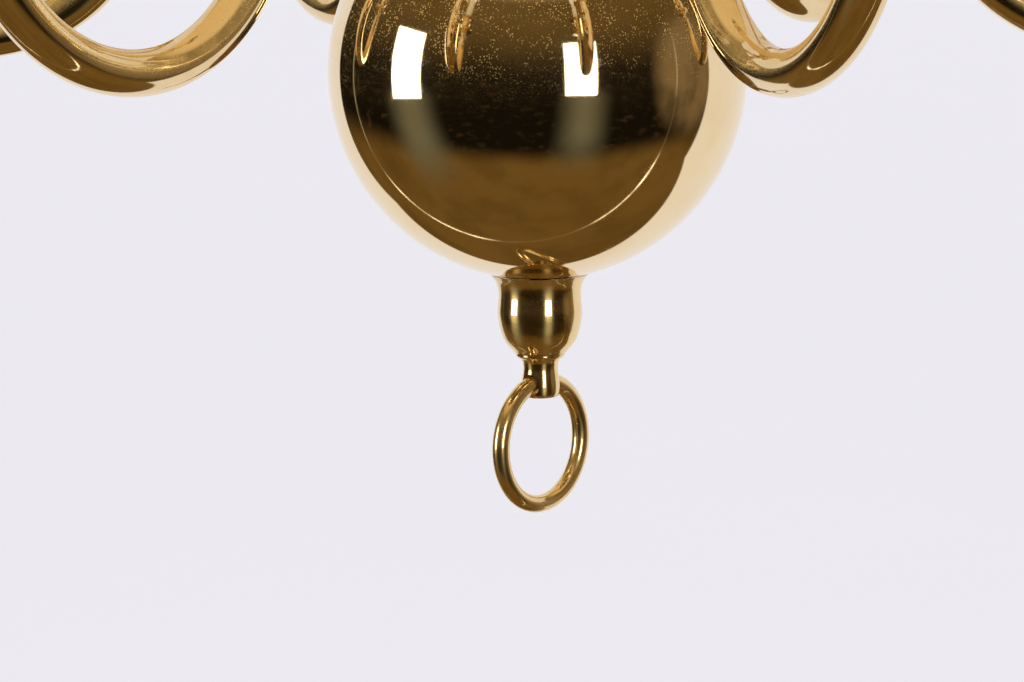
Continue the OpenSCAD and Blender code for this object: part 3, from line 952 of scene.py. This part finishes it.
class CHAND_OT_candles(ChandelierOperator, bpy.types.Operator):
    """Drip pans, candle cups, candle tubes and bulbs"""

    bl_idname = "chand.candles"
    bl_label = "Candles"

    def execute(self, context):
        z = height("drip_pan_1", 0)
        pan = revolve(
            line((9.5, z)),
            smooth(
                [
                    (9.8, z + 1.5),
                    (7.6, z + 5),
                    (7.4, z + 9),
                    (12, z + 14),
                    (22, z + 16.4),
                    (28, z + 18.4),
                    (30, z + 21),
                ]
            ),
            smooth([(29.4, z + 21.5), (28, z + 20.6), (23, z + 18.6), (15, z + 18)], 8),
        )
        c = height("candle_cup_1", 0)
        cup = revolve(
            line((11, c)),
            smooth(
                [
                    (12, c + 1.2),
                    (11.4, c + 3),
                    (8.6, c + 6),
                    (9, c + 10),
                    (13.8, c + 16),
                    (18, c + 23),
                    (18.6, c + 28),
                    (16.6, c + 36),
                    (15.2, c + 41),
                    (18, c + 46),
                    (25, c + 49.4),
                    (27, c + 51),
                ],
                8,
            ),
            smooth([(27, c + 51.6), (24.5, c + 50.8), (18.4, c + 48), (14, c + 44.6), (12.2, c + 42)], 6),
        )
        b = height("bulb_1", 0)
        bulb = revolve(
            smooth(
                [
                    (8, b),
                    (9.4, b + 3),
                    (13.6, b + 11),
                    (17.1, b + 21),
                    (17.5, b + 29),
                    (15.9, b + 40),
                    (12.1, b + 53),
                    (7.2, b + 65),
                    (3.4, b + 71.5),
                    (0.01, b + 74),
                ]
            ),
            segments=96,
        )
        for i in ARMS:
            piece(
                f"drip_pan_{i}_surface",
                [on_arm(pan, i, CANDLE_R)],
                BODY,
                [f"drip_pan_{i}"],
                turned_brass(),
            )
            piece(
                f"candle_cup_{i}_surface",
                [on_arm(cup, i, CANDLE_R)],
                BODY,
                [f"candle_cup_{i}"],
                turned_brass(),
            )
            glass = on_arm(bulb, i, CANDLE_R)
            piece(f"bulb_{i}_surface", [glass], BODY, [f"bulb_{i}"], opal_glass())
        low, top = height("candle_sleeves", 0), height("candle_sleeves", 1)
        tube = revolve(
            line((11.0, low), (12, low), (12, top - 0.5), (11.8, top - 0.1)),
            line((11.2, top - 0.1), (11.0, top - 0.5), (11.0, top - 2)),
            segments=96,
        )
        sleeves = [on_arm(tube, i, CANDLE_R) for i in ARMS]
        piece("candle_sleeves_surface", sleeves, BODY, ["candle_sleeves"], candle_card())
        return {"FINISHED"}


class CHAND_OT_hardware(ChandelierOperator, bpy.types.Operator):
    """Finishes of the CAD pieces that are shown as they are"""

    bl_idname = "chand.hardware"
    bl_label = "Hardware Finishes"

    def execute(self, context):
        finishes = {
            BRASS: turned_brass,
            "steel": zinc_steel,
            "white_plastic": ivory_plastic,
            "lead_sheath": lead_sheath,
            "cap_metal": rolled_cap,
            "candle_sleeve": candle_card,
            "opal_glass": opal_glass,
        }
        slots = {row["node"]: row["material_slot"] for row in frame["record"]["subparts"]}
        for name, obj in frame["nodes"].items():
            if obj.hide_render:
                continue
            obj.data.materials.clear()
            obj.data.materials.append(finishes[slots[name]]())
        return {"FINISHED"}


# ---- Stage ----


def build_world(context):
    """What the brass reflects: a dark room in front, brown floor below, white screens behind and beside.

    All of it depends only on direction. The camera itself sees a plain pale backdrop.
    """
    world = bpy.data.worlds.new("studio")
    context.scene.world = world
    world.use_nodes = True
    tree = world.node_tree
    tree.nodes.clear()
    ray = add(tree, "ShaderNodeTexCoord").outputs["Generated"]
    split = add(tree, "ShaderNodeSeparateXYZ", {0: ray}).outputs

    def along(x, y, z):
        ports = {0: ray, 1: (x, y, z)}
        return add(tree, "ShaderNodeVectorMath", ports, operation="DOT_PRODUCT").outputs["Value"]

    def band(value, centre, half, soft):
        away = math_node(tree, "ABSOLUTE", math_node(tree, "SUBTRACT", value, centre))
        return remap(tree, away, half, half + soft, 1, 0)

    def both(a, b):
        return math_node(tree, "MULTIPLY", a, b)

    def cloud(vector, scale, detail):
        ports = {"Vector": vector, "Scale": scale, "Detail": detail}
        return add(tree, "ShaderNodeTexNoise", ports).outputs["Fac"]

    # Dark wall with dim things on it, longer than they are tall
    flat = add(tree, "ShaderNodeMapping", {"Vector": ray, "Scale": (1, 1, 2.6)}).outputs[0]
    clutter = cloud(flat, 11.0, 8.0)
    mottle = cloud(ray, 3.0, 5.0)
    shelves = both(remap(tree, clutter, 0.5, 0.8, 0, 0.5), remap(tree, mottle, 0.4, 0.62, 0.1, 1))
    colour = mixed(tree, shelves, (0.008, 0.006, 0.004, 1), (0.09, 0.06, 0.035, 1))
    # Ceiling: dim warm brown, lightening overhead
    upward = split[2]
    colour = mixed(tree, remap(tree, upward, 0.0, 0.55), colour, (0.1, 0.062, 0.02, 1))
    colour = mixed(tree, remap(tree, upward, 0.63, 0.82), colour, (0.8, 0.61, 0.36, 1))
    # Floor: brown boards, from just under the horizon's dark wall down
    worn, shaded = (0.155, 0.09, 0.026, 1), (0.115, 0.066, 0.018, 1)
    boards = mixed(tree, remap(tree, mottle, 0.35, 0.7), worn, shaded)
    colour = mixed(tree, remap(tree, along(0, 0.306, -1), 0.36, 0.56), colour, boards)
    # Painted olive sheen on wall and floor beneath the two lights, standing for the light they leave
    # there
    painted_sheen = (0.15, 0.148, 0.11, 1)
    below = both(remap(tree, upward, -0.85, -0.45), remap(tree, upward, -0.05, -0.2))
    right = both(band(along(0.901, 0.433, 0), 0.0, 0.0, 0.3), remap(tree, split[1], -0.3, -0.6))
    left = both(band(along(-0.265, 0.964, 0), 0.0, 0.02, 0.32), remap(tree, split[0], -0.4, -0.7))
    colour = mixed(tree, both(below, math_node(tree, "MAXIMUM", right, left)), colour, painted_sheen)
    # Plaster beside the right-hand screen
    plaster = both(remap(tree, split[0], 0.88, 0.97), remap(tree, upward, -0.6, -0.4))
    plaster = both(plaster, remap(tree, mottle, 0.3, 0.6, 0.4, 1))
    colour = mixed(tree, plaster, colour, (0.2, 0.14, 0.075, 1))
    # Lit edge of the screen's frame, seen as one thin line round the ball
    rim = both(band(along(0.35, 1, 0), 0.19, 0.005, 0.006), remap(tree, mottle, 0.38, 0.6, 0.15, 1))
    rim = both(rim, remap(tree, upward, 0.35, 0.1))
    # Painted glints: the line is painted brightest at two spots, which show as small highlights on the
    # arms
    painted_glint = math_node(
        tree,
        "MAXIMUM",
        remap(tree, along(0.62, 0.0, -0.785), 0.93, 0.99),
        remap(tree, along(-0.51, 0.37, -0.777), 0.93, 0.99),
    )
    rim_colour = mixed(tree, painted_glint, (0.4, 0.35, 0.24, 1), (3.0, 2.8, 2.3, 1))
    colour = mixed(tree, rim, colour, rim_colour)
    # White screens and paper: beyond four straight edges
    white = along(0.24, 1, 0.86)
    for edge in ((-0.3, 1, 0), (1.1, 1, 0), (0, 1, -0.8)):
        white = math_node(tree, "MINIMUM", white, along(*edge))
    colour = mixed(tree, remap(tree, white, -0.012, 0.012), colour, (0.86, 0.85, 0.9, 1))
    seen = add(tree, "ShaderNodeLightPath").outputs["Is Camera Ray"]
    colour = mixed(tree, seen, colour, BACKDROP)
    back = add(tree, "ShaderNodeBackground", {"Color": colour, "Strength": 1.0}).outputs[0]
    add(tree, "ShaderNodeOutputWorld", {"Surface": back})


BACKDROP = srgb("#EAE9EF")
# Light the floor gives off by itself, so that with the room's light it comes out as pale as the backdrop
FLOOR_GLOW = 0.672


def soft_light(name, ray, distance, width, tall, radiance):
    """A rectangular light facing the ball. Its power is radiance * pi * area."""
    data = bpy.data.lights.new(name, "AREA")
    data.shape = "RECTANGLE"
    data.size = width
    data.size_y = tall
    data.energy = radiance * math.pi * width * tall
    obj = bpy.data.objects.new(name, data)
    bpy.context.collection.objects.link(obj)
    ray = Vector(ray).normalized()
    obj.location = Vector((0, 0, BALL_Z)) + ray * distance
    obj.rotation_euler = ray.to_track_quat("Z", "Y").to_euler()
    obj.visible_camera = False


class CHAND_OT_stage(ChandelierOperator, bpy.types.Operator):
    """Pale floor, soft lights, surroundings and camera"""

    bl_idname = "chand.stage"
    bl_label = "Stage"

    def execute(self, context):
        style = context.scene.chand_stage
        half = 60.0
        mesh = bpy.data.meshes.new("floor")
        corners = [(-half, -half, 0), (half, -half, 0), (half, half, 0), (-half, half, 0)]
        mesh.from_pydata([(x, y, style.floor_height) for x, y, _ in corners], [], [(0, 1, 2, 3)])
        floor = bpy.data.objects.new("floor", mesh)
        context.collection.objects.link(floor)
        # Painted floor: matt and pale, with just enough light of its own to meet the backdrop
        paint, tree = material("matt_painted_floor")
        at = add(tree, "ShaderNodeTexCoord").outputs["Object"]
        tone = mixed(tree, noise(tree, at, 900, 2), srgb("#E9E8EE"), srgb("#E6E5EB"))
        ports = {
            "Base Color": tone,
            "Roughness": 0.9,
            "Emission Color": srgb("#C8D7F0"),
            "Emission Strength": FLOOR_GLOW,
        }
        finish(tree, add(tree, "ShaderNodeBsdfPrincipled", ports).outputs[0])
        mesh.materials.append(paint)
        # The brass reflects the surroundings' own brown floor instead
        floor.visible_glossy = False
        build_world(context)
        soft_light("window_right", (0.392, -0.92, 0.083), 3.0, 0.92, 1.45, style.window_light)
        soft_light("window_left", (-0.957, -0.263, 0.083), 3.0, 1.02, 1.56, style.window_light)
        data = bpy.data.cameras.new("camera")
        data.lens = style.lens
        data.sensor_width = 36.0
        data.clip_start = 0.05
        data.clip_end = 200.0
        camera = bpy.data.objects.new("camera", data)
        context.collection.objects.link(camera)
        ball = Vector((0, 0, BALL_Z))
        e = style.elevation
        camera.location = ball + Vector((0, -math.cos(e), math.sin(e))) * style.distance
        aim = ball + Vector((-0.015, 0, -0.1433))
        roll = Matrix.Rotation(math.radians(-0.648), 4, "Z")
        look = (aim - camera.location).to_track_quat("-Z", "Y").to_matrix().to_4x4()
        camera.rotation_euler = (look @ roll).to_euler()
        context.scene.camera = camera
        context.scene.view_settings.view_transform = "Standard"
        return {"FINISHED"}


# ---- Add-on ----

OPERATORS = (
    CHAND_OT_ball,
    CHAND_OT_finial,
    CHAND_OT_ring,
    CHAND_OT_arms,
    CHAND_OT_collars,
    CHAND_OT_stem,
    CHAND_OT_suspension,
    CHAND_OT_candles,
    CHAND_OT_hardware,
    CHAND_OT_stage,
)


class CHAND_PT_panel(bpy.types.Panel):
    """Builds the chandelier piece by piece"""

    bl_idname = "CHAND_PT_panel"
    bl_label = "Brass Ball Chandelier"
    bl_space_type = "VIEW_3D"
    bl_region_type = "UI"
    bl_category = "Chandelier"

    def draw(self, context):
        for operator in OPERATORS:
            self.layout.operator(operator.bl_idname)


GROUPS = {
    "chand_turned": CHAND_PG_turned,
    "chand_arms": CHAND_PG_arms,
    "chand_finish": CHAND_PG_finish,
    "chand_stage": CHAND_PG_stage,
}


def register():
    for cls in (*GROUPS.values(), *OPERATORS, CHAND_PT_panel):
        bpy.utils.register_class(cls)
    for name, group in GROUPS.items():
        setattr(bpy.types.Scene, name, PointerProperty(type=group))


def unregister():
    for name in GROUPS:
        delattr(bpy.types.Scene, name)
    for cls in reversed((*GROUPS.values(), *OPERATORS, CHAND_PT_panel)):
        bpy.utils.unregister_class(cls)


def main():
    register()
    for operator in OPERATORS:
        group, name = operator.bl_idname.split(".")
        getattr(getattr(bpy.ops, group), name)()


if __name__ == "__main__":
    main()
